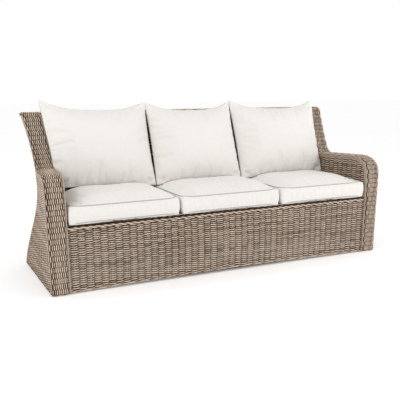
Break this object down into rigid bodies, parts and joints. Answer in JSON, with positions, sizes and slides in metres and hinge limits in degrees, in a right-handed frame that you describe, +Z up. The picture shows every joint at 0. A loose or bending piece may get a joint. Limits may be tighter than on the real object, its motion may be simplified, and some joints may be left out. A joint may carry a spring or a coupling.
{
  "type": "rattan garden sofa",
  "caption": "Woven rattan garden sofa with low splayed arms, a closed woven base, boxed seat cushions and loose back cushions.",
  "frame": {"origin": "on the floor under the middle of the sofa's overall box", "axes": "+Z up, -Y to the front of the seat, +X to the right seen from the front"},
  "size_m": [2.1866, 0.7702, 0.9849],
  "materials": {
    "woven_rattan": "matte",
    "border_cord": "matte",
    "frame_tube": "satin",
    "glide": "matte",
    "cushion_cloth": "matte",
    "foam": "matte"
  },
  "bodies": {
    "sofa_frame": {"front_skirt": "woven_rattan", "front_lip": "woven_rattan", "seat_deck": "woven_rattan", "back_panel": "woven_rattan", "rear_panel": "woven_rattan", "top_roll": "woven_rattan", "arm_band_left": "woven_rattan", "arm_band_right": "woven_rattan", "side_panel_left": "woven_rattan", "side_panel_right": "woven_rattan", "arm_panel_left": "woven_rattan", "arm_panel_right": "woven_rattan", "border_cord_left": "border_cord", "border_cord_right": "border_cord", "outer_hoop_left": "frame_tube", "outer_hoop_right": "frame_tube", "inner_hoop_left": "frame_tube", "inner_hoop_right": "frame_tube", "rear_upright_left": "frame_tube", "rear_upright_right": "frame_tube", "rear_post_left": "frame_tube", "rear_post_right": "frame_tube", "hoop_tie_left": "frame_tube", "hoop_tie_right": "frame_tube", "bottom_front_rail": "frame_tube", "bottom_rear_rail": "frame_tube", "seat_front_rail": "frame_tube", "seat_rear_rail": "frame_tube", "top_rail_front": "frame_tube", "top_rail_rear": "frame_tube", "bottom_side_rail_left": "frame_tube", "bottom_side_rail_right": "frame_tube", "seat_side_rail_left": "frame_tube", "seat_side_rail_right": "frame_tube", "back_post_left": "frame_tube", "back_post_right": "frame_tube", "seat_cross_bar_1": "frame_tube", "seat_cross_bar_2": "frame_tube", "seat_cross_bar_3": "frame_tube", "seat_cross_bar_4": "frame_tube", "seat_cross_bar_5": "frame_tube", "centre_leg_front": "frame_tube", "centre_leg_rear": "frame_tube", "outer_hoop_left_glide": "glide", "outer_hoop_right_glide": "glide", "inner_hoop_left_glide": "glide", "inner_hoop_right_glide": "glide", "rear_upright_left_glide": "glide", "rear_upright_right_glide": "glide", "centre_leg_front_glide": "glide", "centre_leg_rear_glide": "glide"},
    "seat_left": {"seat_cushion_left": "cushion_cloth", "seat_core_left": "foam"},
    "back_left": {"back_cushion_left": "cushion_cloth"},
    "seat_middle": {"seat_cushion_middle": "cushion_cloth", "seat_core_middle": "foam"},
    "back_middle": {"back_cushion_middle": "cushion_cloth"},
    "seat_right": {"seat_cushion_right": "cushion_cloth", "seat_core_right": "foam"},
    "back_right": {"back_cushion_right": "cushion_cloth"}
  },
  "joints": [
    {"name": "seat_left_draw", "type": "slide", "parent": "sofa_frame", "child": "seat_left", "axis": [0, -1, 0], "range_m": [0, 0.55]},
    {"name": "back_left_lift", "type": "slide", "parent": "seat_left", "child": "back_left", "axis": [0, 0, 1], "range_m": [0, 0.52]},
    {"name": "seat_middle_draw", "type": "slide", "parent": "sofa_frame", "child": "seat_middle", "axis": [0, -1, 0], "range_m": [0, 0.55]},
    {"name": "back_middle_lift", "type": "slide", "parent": "seat_middle", "child": "back_middle", "axis": [0, 0, 1], "range_m": [0, 0.52]},
    {"name": "seat_right_draw", "type": "slide", "parent": "sofa_frame", "child": "seat_right", "axis": [0, -1, 0], "range_m": [0, 0.55]},
    {"name": "back_right_lift", "type": "slide", "parent": "seat_right", "child": "back_right", "axis": [0, 0, 1], "range_m": [0, 0.52]}
  ]
}
